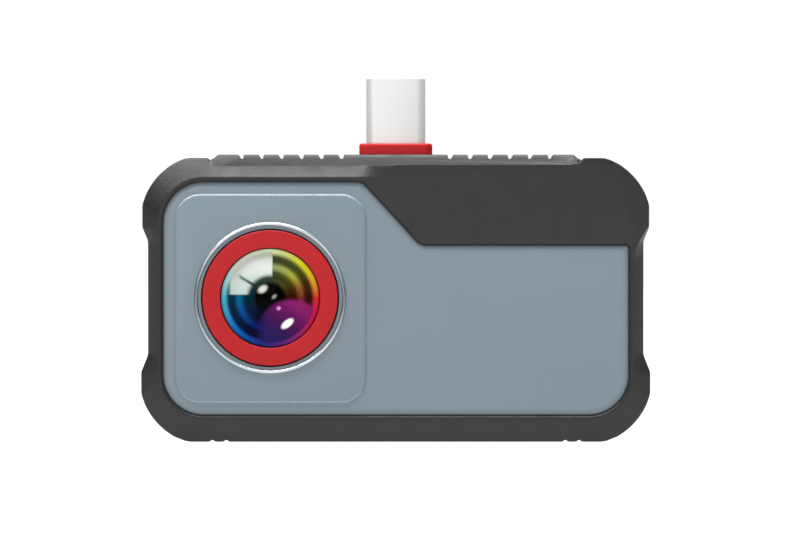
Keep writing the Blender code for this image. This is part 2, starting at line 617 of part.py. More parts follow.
# ============================ detector ===================================
package = put("detector_package", block(LENS_X - 5.5, LENS_X + 5.5, 1.9, 3.1, LENS_Z - 5.0, LENS_Z + 5.0), CERAMIC, smooth=False)
carve(package, block(LENS_X - 4.0, LENS_X + 4.0, 1.0, 2.7, LENS_Z - 3.5, LENS_Z + 3.5))
put("detector_window", block(LENS_X - 4.6, LENS_X + 4.6, 1.35, 1.75, LENS_Z - 4.1, LENS_Z + 4.1, 0.1), GERMANIUM, smooth=False)
put("detector_array", block(LENS_X - 2.4, LENS_X + 2.4, 2.2, 2.5, LENS_Z - 1.9, LENS_Z + 1.9), SILICON, smooth=False)
put("sensor_board", plate(rounded(-26.3, -8.45, 11.1, 29.0, 1.0, 3),
                          [circle(px, pz, 0.85, 12) for px, pz in PILLARS], 3.4, 4.0), BOARD, smooth=False)
sensor_plug = put("sensor_connector", block(-12.6, -9.9, 4.25, 5.05, 17.6, 26.4), CONNECTOR, smooth=False)
carve(sensor_plug, block(-10.8, -9.0, 4.45, 4.85, 18.6, 25.4))


def ribbon(path, thick, z0, z1):
    """Thin strip following a path of (x, y) points, z0 to z1 wide."""
    left, right = [], []
    for i, p in enumerate(path):
        a = Vector(path[max(i - 1, 0)])
        b = Vector(path[min(i + 1, len(path) - 1)])
        t = (b - a).normalized()
        nrm = Vector((-t.y, t.x)) * thick / 2
        left.append(Vector(p) + nrm)
        right.append(Vector(p) - nrm)
    loop = [(v.x, v.y) for v in left] + [(v.x, v.y) for v in reversed(right)]
    return prism_z(loop, z0, z1)


def s_curve(x0, y0, x1, y1, n):
    """Smooth step between two level runs."""
    return [(x0 + (x1 - x0) * k / n, y0 + (y1 - y0) * (3 * (k / n) ** 2 - 2 * (k / n) ** 3)) for k in range(n + 1)]


put("flex_cable", ribbon([(-9.6, 4.65)] + s_curve(-3.2, 4.65, 1.4, 1.62, 10) + [(3.6, 1.62)], 0.16, 19.0, 25.0), FLEX)

# ============================ main board ===================================
put("main_board", plate(rounded(-2.0, 25.3, 5.8, 31.0, 1.0, 3),
                        [circle(px, pz, 0.85, 12) for px, pz in BOARD_SCREWS], -0.4, 0.4), BOARD, smooth=False)
put("board_connector", block(0.9, 3.9, 0.65, 1.35, 18.2, 25.8), CONNECTOR, smooth=False)
put("processor", block(8.0, 16.0, 0.65, 1.6, 16.0, 24.0, 0.1), CHIP, smooth=False)
can = put("shield_can", block(5.5, 18.5, 0.65, 2.25, 13.5, 26.5), CAN, smooth=False)
carve(can, block(5.75, 18.25, 0.0, 2.0, 13.75, 26.25))
put("thermal_pad", block(6.0, 18.0, 2.55, 3.5, 14.0, 26.0, 0.1), PAD, smooth=False)
spreader = put("heat_spreader", plate(rounded(4.6, 25.0, 9.5, 31.0, 1.2, 4), [], 3.8, 4.6), ALU, smooth=False)
put("memory_chip", block(6.0, 14.0, -1.6, -0.65, 13.0, 19.0, 0.1), CHIP, smooth=False)
put("power_chip", block(16.5, 20.5, -1.5, -0.65, 21.0, 25.0, 0.1), CHIP, smooth=False)
put("power_inductor", block(16.8, 20.8, -2.4, -0.65, 14.0, 18.0, 0.35), CHIP, smooth=False)
put("clock_crystal", block(8.0, 11.2, -1.4, -0.65, 22.0, 24.5, 0.15), CAN, smooth=False)
for i, (px, pz) in enumerate(BOARD_SCREWS, 1):
    screw("board_screw_%d" % i, px, pz, -2.6, 0.65, 0.55, 1.3, 0.7, SCREW_STEEL)

# ============================ plug ===================================
def stadium(w, t, n=8, grow=0.0):
    """Flat oval w wide and t thick in the XY plane."""
    r = t / 2 + grow
    c = w / 2 - t / 2
    return ([(c + r * math.cos(math.radians(-90 + 180 * k / n)), r * math.sin(math.radians(-90 + 180 * k / n)))
             for k in range(n + 1)]
            + [(-c + r * math.cos(math.radians(90 + 180 * k / n)), r * math.sin(math.radians(90 + 180 * k / n)))
               for k in range(n + 1)])


def tube_z(outer, inner, z0, z1, lip, step_z, step):
    """Hollow extrusion along Z, open at both ends. Its mouth is rolled inwards by lip, and
    below step_z the outside is drawn in by step."""
    o = stadium(*outer)
    i = stadium(*inner)
    o2 = stadium(*outer, grow=-lip)
    o3 = stadium(*outer, grow=-step)
    rings = [[(x, y, z0) for x, y in i], [(x, y, z0) for x, y in o3], [(x, y, step_z - step) for x, y in o3],
             [(x, y, step_z) for x, y in o], [(x, y, z1 - lip) for x, y in o],
             [(x, y, z1) for x, y in o2], [(x, y, z1) for x, y in i], [(x, y, z0) for x, y in i]]
    return loft(rings, caps=False)


# the shell is a little slimmer where it stands in the collar, so its broad faces end above it
put("plug_shell", tube_z((PLUG_W, PLUG_T), (PLUG_W - 2 * PLUG_WALL, PLUG_T - 2 * PLUG_WALL),
                         PLUG_ROOT_Z, PLUG_TIP_Z, 0.12, COLLAR_TOP_Z + 0.12, 0.08), STEEL)
insulator = put("plug_insulator", prism_z(stadium(7.35, 1.5, 6), PLUG_ROOT_Z + 0.2, 50.1), INSULATOR)
carve(insulator, block(-3.40, 3.40, -0.42, 0.42, 44.6, 52.0))
finish_round(insulator)


def contact_row(side):
    """Twelve spring fingers on one carrier strip, along one broad wall of the tongue slot."""
    y0, y1 = sorted((side * 0.22, side * 0.35))
    pts = [(-3.0, 44.8)]
    pts += [(3.0, 44.8), (3.0, 45.3)]
    for k in reversed(range(12)):
        x = -2.75 + 0.5 * k
        pts += [(x + 0.13, 45.3), (x + 0.13, 49.4), (x - 0.13, 49.4), (x - 0.13, 45.3)]
    pts += [(-3.0, 45.3)]
    return prism(pts, y0, y1)


put("plug_contacts_front", contact_row(-1), GOLD, smooth=False)
put("plug_contacts_rear", contact_row(1), GOLD, smooth=False)
put("plug_latch_plate", prism([(-3.3, 44.8), (3.3, 44.8), (3.3, 49.2), (3.1, 49.2), (3.1, 45.3), (-3.1, 45.3),
                               (-3.1, 49.2), (-3.3, 49.2)], -0.1, 0.1), STEEL, smooth=False)

# red collar: a flat oval block with softened upper edge, standing in the frame's slot
collar_rings = []
for z, s in ((36.0, 0.0), (COLLAR_TOP_Z - 0.45, 0.0), (COLLAR_TOP_Z - 0.13, 0.14), (COLLAR_TOP_Z, 0.45)):
    collar_rings.append([(x, y, z) for x, y in rounded(-COLLAR_W / 2 + s, COLLAR_W / 2 - s,
                                                        -COLLAR_T / 2 + s, COLLAR_T / 2 - s, 1.2, 6)])
collar = put("plug_collar", loft(collar_rings), COLLAR)
carve(collar, prism_z(stadium(PLUG_W + 0.3, PLUG_T + 0.3, 8), 30.0, 46.0))
finish_round(collar)

bracket = put("plug_bracket", plate(rounded(-8.0, 8.0, 31.6, 34.0, 0.6, 3),
                                    [circle(px, pz, 0.85, 12) for px, pz in BRACKET_SCREWS], 1.5, 1.9), SCREW_STEEL,
              smooth=False)
for i, (px, pz) in enumerate(BRACKET_SCREWS, 1):
    screw("bracket_screw_%d" % i, px, pz, -2.4, 2.15, 0.55, 1.1, 0.6, SCREW_STEEL)
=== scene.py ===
import math

import bmesh
import bpy
from mathutils import Matrix, Vector
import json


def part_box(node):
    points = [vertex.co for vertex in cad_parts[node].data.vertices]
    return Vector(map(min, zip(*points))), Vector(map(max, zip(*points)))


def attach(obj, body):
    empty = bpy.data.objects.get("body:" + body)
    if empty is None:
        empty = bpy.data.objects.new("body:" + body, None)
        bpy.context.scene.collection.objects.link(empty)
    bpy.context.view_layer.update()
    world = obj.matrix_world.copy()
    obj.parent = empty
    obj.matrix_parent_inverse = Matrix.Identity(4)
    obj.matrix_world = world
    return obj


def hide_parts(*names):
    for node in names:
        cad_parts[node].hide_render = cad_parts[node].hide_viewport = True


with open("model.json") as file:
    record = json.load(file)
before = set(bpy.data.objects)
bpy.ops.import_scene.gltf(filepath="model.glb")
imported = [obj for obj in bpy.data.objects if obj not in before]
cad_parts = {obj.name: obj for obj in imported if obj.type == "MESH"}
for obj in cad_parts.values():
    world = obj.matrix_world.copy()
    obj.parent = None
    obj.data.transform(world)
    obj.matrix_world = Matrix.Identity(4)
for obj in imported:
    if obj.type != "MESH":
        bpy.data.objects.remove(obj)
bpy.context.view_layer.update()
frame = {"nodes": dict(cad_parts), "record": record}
NODES = frame["nodes"]
MM = 0.001
scene = bpy.context.scene


# ============================================================ mesh helpers (millimetres in, metres out)
def put(name, bm, mat, angle=30.0, merge=1e-5):
    if merge:
        bmesh.ops.remove_doubles(bm, verts=bm.verts, dist=merge)
    bmesh.ops.recalc_face_normals(bm, faces=bm.faces)
    if bm.calc_volume(signed=True) < 0:
        bmesh.ops.reverse_faces(bm, faces=bm.faces)
    bmesh.ops.scale(bm, verts=bm.verts, vec=(MM, MM, MM))
    mesh = bpy.data.meshes.new(name)
    bm.to_mesh(mesh)
    bm.free()
    obj = bpy.data.objects.new(name, mesh)
    scene.collection.objects.link(obj)
    for m in mat if isinstance(mat, (list, tuple)) else [mat]:
        if m is not None:
            mesh.materials.append(m)
    shade(obj, angle)
    return obj


def shade(obj, angle=30.0):
    obj.data.shade_smooth()
    obj.data.set_sharp_from_angle(angle=math.radians(angle))


def carve(obj, bm, op="DIFFERENCE"):
    tool = put("tool_body", bm, None)
    mod = obj.modifiers.new("cut", "BOOLEAN")
    mod.operation, mod.solver, mod.object = op, "EXACT", tool
    bpy.context.view_layer.update()
    deps = bpy.context.evaluated_depsgraph_get()
    result = bpy.data.meshes.new_from_object(obj.evaluated_get(deps))
    obj.modifiers.remove(mod)
    old, name = obj.data, obj.data.name
    obj.data = result
    bpy.data.meshes.remove(old)
    result.name = name
    bpy.data.objects.remove(tool, do_unlink=True)
    return obj


def ride(obj, body, *replaced, slot=None):
    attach(obj, body)
    if replaced:
        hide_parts(*replaced)
    return obj


def arc(cx, cz, r, a0, a1, n):
    return [(cx + r * math.cos(math.radians(a0 + (a1 - a0) * i / n)),
             cz + r * math.sin(math.radians(a0 + (a1 - a0) * i / n))) for i in range(n + 1)]


def circle(cx, cz, r, n):
    return arc(cx, cz, r, 0.0, 360.0 * (n - 1) / n, n - 1)


def fillet(corners, n=8, closed=True):
    """Polygon or open line from (x, z, radius) corners, each rounded by an arc of n steps."""
    out = []
    count = len(corners)
    for i, (x, z, r) in enumerate(corners):
        p = Vector((x, z))
        end = not closed and i in (0, count - 1)
        if end:
            out.append((x, z))
            continue
        a = Vector(corners[i - 1][:2]) - p
        b = Vector(corners[(i + 1) % count][:2]) - p
        la, lb = a.length, b.length
        a.normalize(), b.normalize()
        dot = max(-1.0, min(1.0, a.dot(b)))
        half = math.acos(dot) / 2
        if r <= 1e-6 or half > math.radians(89.9):
            out += [(x, z)] * (n + 1) if not closed else [(x, z)]
            continue
        reach = r / math.tan(half)
        limit = 0.48 * min(la, lb)
        if reach > limit:
            r *= limit / reach
            reach = limit
        centre = p + (a + b).normalized() * (r / math.sin(half))
        start, stop = p + a * reach - centre, p + b * reach - centre
        a0, a1 = math.atan2(start.y, start.x), math.atan2(stop.y, stop.x)
        turn = (a1 - a0 + math.pi) % (2 * math.pi) - math.pi
        for k in range(n + 1):
            t = a0 + turn * k / n
            out.append((centre.x + r * math.cos(t), centre.y + r * math.sin(t)))
    return out


def rounded(x0, x1, z0, z1, r, n=10):
    return fillet([(x0, z0, r), (x1, z0, r), (x1, z1, r), (x0, z1, r)], n)


def dense(loop, step):
    """Closed polyline with extra points, so that no side is longer than step."""
    out = []
    for i in range(len(loop)):
        a, b = Vector(loop[i]), Vector(loop[(i + 1) % len(loop)])
        k = max(1, math.ceil((b - a).length / step))
        out += [tuple(a + (b - a) * (j / k)) for j in range(k)]
    return out


def loft(rings, caps=True, closed_tube=False):
    bm = bmesh.new()
    rows = [[bm.verts.new(p) for p in ring] for ring in rings]
    n = len(rows[0])
    pairs = list(zip(rows, rows[1:]))
    if closed_tube:
        pairs.append((rows[-1], rows[0]))
    for a, b in pairs:
        for i in range(n):
            j = (i + 1) % n
            bm.faces.new((a[i], a[j], b[j], b[i]))
    if caps and not closed_tube:
        bm.faces.new(list(reversed(rows[0])))
        bm.faces.new(rows[-1])
    bmesh.ops.recalc_face_normals(bm, faces=bm.faces)
    return bm


def prism(loop, y0, y1):
    return loft([[(x, y, z) for x, z in loop] for y in (y0, y1)])


def prism_z(loop, z0, z1):
    return loft([[(x, y, z) for x, y in loop] for z in (z0, z1)])


def turned(profile, cx, cz, n=128):
    """Closed (r, y) profile revolved about the axis along Y through (cx, cz)."""
    bm = bmesh.new()
    rows = []
    for r, y in profile:
        if r < 1e-6:
            rows.append([bm.verts.new((cx, y, cz))] * n)
        else:
            rows.append([bm.verts.new((cx + r * math.cos(2 * math.pi * k / n), y,
                                       cz + r * math.sin(2 * math.pi * k / n))) for k in range(n)])
    m = len(rows)
    for i in range(m):
        a, b = rows[i], rows[(i + 1) % m]
        for k in range(n):
            j = (k + 1) % n
            face = []
            for v in (a[k], a[j], b[j], b[k]):
                if v not in face:
                    face.append(v)
            if len(face) > 2:
                bm.faces.new(face)
    bmesh.ops.recalc_face_normals(bm, faces=bm.faces)
    return bm


def rod(cx, cz, r, y0, y1, n=64):
    return turned([(0, y0), (r, y0), (r, y1), (0, y1)], cx, cz, n)


def nearest(loop, p):
    best, found = 1e9, None
    p = Vector(p)
    for i in range(len(loop)):
        a = Vector(loop[i])
        d = Vector(loop[(i + 1) % len(loop)]) - a
        t = 0.0 if d.length_squared < 1e-12 else max(0.0, min(1.0, (p - a).dot(d) / d.length_squared))
        q = a + d * t
        if (p - q).length < best:
            best, found = (p - q).length, q
    return found


def smooth01(t):
    t = max(0.0, min(1.0, t))
    return t * t * (3 - 2 * t)


# ============================================================ materials
def new_material(name, rgb, rough, metal=0.0, **sockets):
    mat = bpy.data.materials.new(name)
    mat.use_nodes = True
    tree = mat.node_tree
    shader = tree.nodes["Principled BSDF"]
    shader.inputs["Base Color"].default_value = (*rgb, 1.0)
    shader.inputs["Roughness"].default_value = rough
    shader.inputs["Metallic"].default_value = metal
    for key, value in sockets.items():
        shader.inputs[key.replace("_", " ")].default_value = value
    return mat, tree, shader


def add(tree, kind, **props):
    node = tree.nodes.new(kind)
    for key, value in props.items():
        setattr(node, key, value)
    return node


def object_coords(tree):
    return add(tree, "ShaderNodeTexCoord").outputs["Object"]


def noise(tree, coords, scale, detail=4.0, rough=0.55):
    node = add(tree, "ShaderNodeTexNoise")
    node.inputs["Scale"].default_value = scale
    node.inputs["Detail"].default_value = detail
    node.inputs["Roughness"].default_value = rough
    tree.links.new(coords, node.inputs["Vector"])
    return node.outputs["Fac"]


def remap(tree, value, a0, a1, b0, b1):
    node = add(tree, "ShaderNodeMapRange")
    for key, v in zip(("From Min", "From Max", "To Min", "To Max"), (a0, a1, b0, b1)):
        node.inputs[key].default_value = v
    tree.links.new(value, node.inputs["Value"])
    return node.outputs["Result"]


def colour_mix(tree, fac, a, b, blend="MIX"):
    node = add(tree, "ShaderNodeMix", data_type="RGBA", blend_type=blend)
    for sock, value in ((node.inputs[0], fac), (node.inputs[6], a), (node.inputs[7], b)):
        if hasattr(value, "links"):
            tree.links.new(value, sock)
        elif isinstance(value, (tuple, list)):
            sock.default_value = (*value[:3], 1.0)
        else:
            sock.default_value = value
    return node.outputs[2]


def bump(tree, shader, height, distance, strength=1.0, normal=None):
    node = add(tree, "ShaderNodeBump")
    node.inputs["Strength"].default_value = strength
    node.inputs["Distance"].default_value = distance
    tree.links.new(height, node.inputs["Height"])
    if normal is not None:
        tree.links.new(normal, node.inputs["Normal"])
    tree.links.new(node.outputs["Normal"], shader.inputs["Normal"])
    return node.outputs["Normal"]


def textured(name, rgb, rough, metal=0.0, grain=3000.0, grain_depth=0.00002, mottle=0.12, rough_spread=0.08,
             wear=None, **sockets):
    """A moulded, painted or machined surface: fine grain in the bump, slow mottling in the colour,
    uneven roughness, and lighter rubbed edges where wear is given."""
    mat, tree, shader = new_material(name, rgb, rough, metal, **sockets)
    co = object_coords(tree)
    slow = noise(tree, co, 140.0, 5.0)
    dark = tuple(c * (1 - mottle) for c in rgb)
    light = tuple(min(1.0, c * (1 + mottle)) for c in rgb)
    colour = colour_mix(tree, remap(tree, slow, 0.3, 0.7, 0.0, 1.0), dark, light)
    if wear:
        geo = add(tree, "ShaderNodeNewGeometry")
        edge = remap(tree, geo.outputs["Pointiness"], 0.52, 0.60, 0.0, 1.0)
        patch = remap(tree, noise(tree, co, 420.0, 6.0), 0.42, 0.62, 0.0, 1.0)
        mult = add(tree, "ShaderNodeMath", operation="MULTIPLY")
        tree.links.new(edge, mult.inputs[0])
        tree.links.new(patch, mult.inputs[1])
        colour = colour_mix(tree, mult.outputs[0], colour, wear)
    tree.links.new(colour, shader.inputs["Base Color"])
    r = remap(tree, noise(tree, co, 320.0, 4.0), 0.3, 0.7, max(0.02, rough - rough_spread), min(1.0, rough + rough_spread))
    tree.links.new(r, shader.inputs["Roughness"])
    if grain_depth:
        bump(tree, shader, noise(tree, co, grain, 3.0, 0.6), grain_depth)
    return mat


RUBBER = textured("moulded rubber", (0.0090, 0.0090, 0.0101), 0.45, grain=2600.0, grain_depth=0.000022,
                  mottle=0.06, Specular_IOR_Level=0.40)
NYLON = textured("sparked nylon", (0.018, 0.018, 0.020), 0.50, grain=3600.0, grain_depth=0.00003, mottle=0.06,
                 Specular_IOR_Level=0.4)
PANEL = textured("grey blue panel", (0.166, 0.210, 0.240), 0.40, grain=5200.0, grain_depth=0.000004,
                 mottle=0.015, rough_spread=0.04, Specular_IOR_Level=0.4)
# glossier, lighter copy of the panel finish: the extra gloss is real, the lighter colour is a painted highlight
PANEL_EDGE_PAINTED_HIGHLIGHT = textured("polished panel edge painted highlight", (0.225, 0.280, 0.312), 0.26, grain=5200.0, grain_depth=0.000002,
                      mottle=0.015, rough_spread=0.03, Specular_IOR_Level=0.55)
def bead_material():
    """Diamond-cut metal ridge round the lens with a painted highlight: lighter colour above and below the lens centre,
    darker colour at the sides.
    """
    mat = textured("diamond cut bead painted highlight", (0.50, 0.56, 0.60), 0.27, 0.8, grain=5200.0, grain_depth=0.000001, mottle=0.015,
                   rough_spread=0.03)
    tree = mat.node_tree
    shader = tree.nodes["Principled BSDF"]
    sep = add(tree, "ShaderNodeSeparateXYZ")
    tree.links.new(object_coords(tree), sep.inputs[0])
    height = add(tree, "ShaderNodeMath", operation="SUBTRACT")
    tree.links.new(sep.outputs["Z"], height.inputs[0])
    height.inputs[1].default_value = 0.020
    size = add(tree, "ShaderNodeMath", operation="ABSOLUTE")
    tree.links.new(height.outputs[0], size.inputs[0])
    # painted highlight: the colour lightens with height above or below the lens centre and stays dark at the sides
    lit = remap(tree, size.outputs[0], 0.0015, 0.0068, 0.0, 1.0)
    painted_highlight_colour = shader.inputs["Base Color"].links[0].from_socket
    tree.links.new(colour_mix(tree, lit, (0.205, 0.245, 0.272), painted_highlight_colour), shader.inputs["Base Color"])
    return mat


RED_RING = textured("red anodised ring", (0.385, 0.008, 0.011), 0.50, grain=4200.0, grain_depth=0.000006,
                    mottle=0.05, Specular_IOR_Level=0.22)
BEAD_METAL = bead_material()
RED_COLLAR = textured("red collar", (0.40, 0.009, 0.011), 0.55, grain=3000.0, grain_depth=0.00001, mottle=0.06,
                      Specular_IOR_Level=0.22)
PLUG_STEEL = textured("satin nickel", (0.635, 0.635, 0.627), 0.42, 0.6, grain=900.0, grain_depth=0.000002,
                      mottle=0.012, rough_spread=0.03)
BLACK_STEEL = textured("blackened steel", (0.05, 0.05, 0.052), 0.38, 1.0, grain=2200.0, grain_depth=0.000006,
                       mottle=0.15, wear=(0.35, 0.35, 0.35))

# ============================================================ outline of the rubber frame
WAIST_X, LOW_BUMP_X, HIGH_BUMP_X = 34.40, 35.36, 35.21
BUMP_TOP_Z, RAIL_TOP_Z, FLOOR_Z = 39.43, 39.89, 39.33
CORNER_R = 9.6
LOW_ARC, HIGH_ARC = (26.08, 9.10), (25.95, 30.40)
TOOTH_FIRST_X, TOOTH_PITCH, TOOTH_COUNT = 7.60, 2.78, 6
PANEL_LEFT, PANEL_RIGHT = -32.20, 32.25
PANEL_LOW, PANEL_HIGH, PANEL_STEP = 3.82, 36.01, 27.22
DIAG_TOP_X, DIAG_LOW_X, PANEL_R = -4.70, 3.35, 5.55
SEAM = 0.35
Y_SIDE, Y_FRAME, Y_BACK = -4.45, -6.20, 6.70


def outline():
    right = [(0.0, 0.0)]
    for gx in (23.55, 25.45):
        right += [(gx - 0.6, 0.0), (gx - 0.35, 0.05), (gx - 0.1, 0.22), (gx + 0.1, 0.22), (gx + 0.35, 0.05),
                  (gx + 0.6, 0.0)]
    a_low = math.degrees(math.asin(-LOW_ARC[1] / CORNER_R))
    a_side = -math.degrees(math.acos((LOW_BUMP_X - LOW_ARC[0]) / CORNER_R))
    corner = arc(LOW_ARC[0], LOW_ARC[1], CORNER_R, a_low, a_side, 3)
    lower = [(26.3, 0.0, 0.0), (corner[0][0], corner[0][1], 5.0)]
    right += [(27.2, 0.0)]
    low_line = fillet([(27.2, 0.0, 0.0), (*corner[0], 4.0)] +
                      [(*p, 0.0) for p in arc(LOW_ARC[0], LOW_ARC[1], CORNER_R, a_low + 14, a_low + 14.1, 1)[:1]],
                      6, closed=False)
    right += low_line[1:-1]
    right += arc(LOW_ARC[0], LOW_ARC[1], CORNER_R, a_low + 10, a_side - 8, 22)
    side = fillet([(*arc(LOW_ARC[0], LOW_ARC[1], CORNER_R, a_side - 8, a_side, 1)[0], 0.0),
                   (LOW_BUMP_X, arc(LOW_ARC[0], LOW_ARC[1], CORNER_R, a_side, a_side, 1)[0][1], 3.0),
                   (LOW_BUMP_X, 9.7, 1.6), (WAIST_X, 12.1, 2.2), (WAIST_X, 27.9, 2.2), (HIGH_BUMP_X, 29.8, 1.6),
                   (HIGH_BUMP_X, 32.93, 3.0),
                   (*arc(HIGH_ARC[0], HIGH_ARC[1], CORNER_R, 23.0, 24.0, 1)[0], 0.0)], 6, closed=False)
    right += side[1:-1]
    b_top = math.degrees(math.asin((BUMP_TOP_Z - HIGH_ARC[1]) / CORNER_R))
    right += arc(HIGH_ARC[0], HIGH_ARC[1], CORNER_R, 23.0, b_top - 10, 22)
    top_corner = arc(HIGH_ARC[0], HIGH_ARC[1], CORNER_R, b_top, b_top, 1)[0]
    right += fillet([(*arc(HIGH_ARC[0], HIGH_ARC[1], CORNER_R, b_top - 10, b_top, 1)[0], 0.0), (*top_corner, 4.0),
                     (26.15, BUMP_TOP_Z, 0.25), (25.75, 39.10, 0.1), (25.45, FLOOR_Z, 0.05), (24.9, FLOOR_Z, 0.0)],
                    5, closed=False)[1:-1]
    right += [(24.9, FLOOR_Z), (0.0, FLOOR_Z)]
    left = [(-x, z) for x, z in reversed(right[1:-1])]
    loop = []
    for p in right + left:
        if not loop or (Vector(p) - Vector(loop[-1])).length > 1e-4:
            loop.append(p)
    return loop


def panel_outline(grow=0.0, n=12):
    run = (DIAG_LOW_X - DIAG_TOP_X) / (PANEL_HIGH - PANEL_STEP)
    slide = grow * (math.hypot(1.0, run) - run)
    return fillet([
        (PANEL_LEFT - grow, PANEL_LOW - grow, PANEL_R + grow),
        (PANEL_RIGHT + grow, PANEL_LOW - grow, PANEL_R + grow),
        (PANEL_RIGHT + grow, PANEL_STEP + grow, 0.45 + max(grow, 0.0)),
        (DIAG_LOW_X + slide, PANEL_STEP + grow, max(2.0 - grow, 0.5)),
        (DIAG_TOP_X + slide, PANEL_HIGH + grow, 1.7 + grow),
        (PANEL_LEFT - grow, PANEL_HIGH + grow, PANEL_R + grow)], n)


E = SEAM + 0.25
LAND_Z = 38.36
LAND = ([(x, z) for x, z in fillet([(PANEL_LEFT - E, 20.0, 0.0), (PANEL_LEFT - E, PANEL_LOW - E, PANEL_R + E),
                                    (PANEL_RIGHT + E, PANEL_LOW - E, PANEL_R + E), (PANEL_RIGHT + E, 26.6, 1.0),
                                    (34.95, 30.0, 1.0),
                                    (*arc(HIGH_ARC[0], HIGH_ARC[1], CORNER_R - 0.24, 14.0, 20.0, 1)[0], 0.0)],
                                   14, closed=False)]
        + arc(HIGH_ARC[0], HIGH_ARC[1], CORNER_R - 0.24, 16.0, 68.0, 24)
        + fillet([(28.9, BUMP_TOP_Z - 0.22, 0.0), (26.4, BUMP_TOP_Z - 0.22, 0.3), (25.15, LAND_Z, 0.3), (-0.2, LAND_Z, 0.3),
                  (-1.8, PANEL_HIGH + E, 0.3), (PANEL_LEFT - E, PANEL_HIGH + E, PANEL_R + E),
                  (PANEL_LEFT - E, 20.5, 0.0)], 14, closed=False))


def front_profile(depth, rail, plateau, ledge):
    """(distance inwards, y) down the frame's front edge, always the same number of points."""
    d_flat = max(depth - 0.14, depth * 0.55)
    # where the band under the teeth ends; off the rail this point lies on the straight bevel
    mid_d, mid_y = depth * 0.42, Y_SIDE + (Y_FRAME - Y_SIDE) * (depth * 0.42 / d_flat)
    low_y = Y_SIDE + (Y_FRAME - Y_SIDE) * ((mid_d + 0.05) / d_flat)
    rail_d = min(0.95, depth - 0.17)
    rail_y = Y_SIDE - 0.585 * rail_d
    m = (mid_d + (rail_d - mid_d) * rail, mid_y + (rail_y - mid_y) * rail)
    ledge_y = rail_y - 0.01 + (-6.16 - rail_y) * ledge
    m2 = (mid_d + 0.05 + (rail_d - mid_d - 0.01) * rail, low_y + (ledge_y - low_y) * rail)
    f = (d_flat + (depth - 0.09 - d_flat) * plateau, Y_FRAME)
    rr = 0.35 * (1 - plateau) + 0.05 * plateau
    return fillet([(0.0, -3.2, 0.0), (0.0, Y_SIDE, 0.45), (*m, 0.05), (*m2, 0.05), (*f, rr), (depth, Y_FRAME, 0.0)],
                  6, closed=False)[1:]


OUT = dense(outline(), 0.8)


def frame_rings():
    back_land = dense(rounded(-33.0, 33.0, 2.0, 37.8, 7.0, 16), 1.0)
    rows_front, rows_back = [], []
    for x, z in OUT:
        p = Vector((x, z))
        # the dip between the corner and the grip rail is only in the outer edge: the bevel under it runs straight on
        lift = 0.0
        if x < 0 and z > 38.7 and 24.9 < abs(x) < 26.9:
            lift = FLOOR_Z + (BUMP_TOP_Z - FLOOR_Z) * smooth01((abs(x) - 25.0) / 1.5) - z
        whole = Vector((x, z + lift))
        q = nearest(LAND, whole)
        d = (q - whole)
        depth = d.length
        u = d / max(depth, 1e-6)
        if z > 38.9 and -7.0 < x < 3.0:
            low = PANEL_HIGH + E
            q = Vector((x, low + (LAND_Z - low) * smooth01((x + 1.4) / 1.0)))
            d = q - p
            depth = d.length
            u = d / depth
        rail = smooth01((25.6 - abs(x)) / 0.7) if z > 39.0 else 0.0
        if x < 0 and z > 38.7:
            rail = smooth01((27.0 - abs(x)) / 3.6)
        ledge = smooth01((x + 5.6) / 4.2)
        plateau = smooth01((x + 5.0) / 3.4) if z > 38.9 and x < 25.4 else (1.0 if x > 25 and z > 29.0 else 0.0)
        if z > 38.9 and x >= 25.0:
            plateau = 1.0
        if x > 0 and z <= 38.9:
            plateau = smooth01((z - 27.6) / 2.5)
        prof = front_profile(depth, rail, plateau, ledge)
        rows_front.append([(p.x + u.x * s, y, p.y + lift * smooth01(s / 0.6) + u.y * s) for s, y in prof])
        b = nearest(back_land, p)
        db = b - p
        bl = db.length
        ub = db / max(bl, 1e-6)
        profb = fillet([(0.0, 3.0, 0.0), (0.0, 5.45, 0.6), (bl * 0.8, Y_BACK, 0.5), (bl, Y_BACK, 0.0)],
                       6, closed=False)[1:]
        rows_back.append([(p.x + ub.x * s, y, p.y + ub.y * s) for s, y in profb])
    k, kb = len(rows_front[0]), len(rows_back[0])
    rings = [[rows_back[i][j] for i in range(len(OUT))] for j in reversed(range(kb))]
    rings += [[rows_front[i][j] for i in range(len(OUT))] for j in range(k)]
    return rings


rubber = put("rubber_frame", loft(frame_rings()), RUBBER, 30)


RAIL_LOW_Z = 38.10


def grip_rail():
    """The raised rail along the top: its front face leans back, its top edge is rounded."""
    loop = fillet([(-25.30, RAIL_LOW_Z, 0.0), (25.30, RAIL_LOW_Z, 0.0), (25.50, 39.22, 0.05), (24.66, RAIL_TOP_Z, 0.25),
                   (-24.66, RAIL_TOP_Z, 0.25), (-25.50, 39.22, 0.05)], 5)
    rings = []
    for side, base, slope in ((1, 5.50, -0.55), (-1, -4.50, 0.545)):
        sets = []
        for inset, back in ((0.0, 0.12), (0.03, 0.04), (0.10, 0.0)):
            ring = []
            for x, z in loop:
                x2 = x - math.copysign(inset, x) if abs(x) > 24.0 else x
                z2 = z - inset * (1.0 if z > FLOOR_Z - 0.3 else 0.0)
                ring.append((x2, base + slope * (z2 - FLOOR_Z) - side * back, z2))
            sets.append(ring)
        rings += list(reversed(sets)) if side > 0 else sets
    return loft(rings)


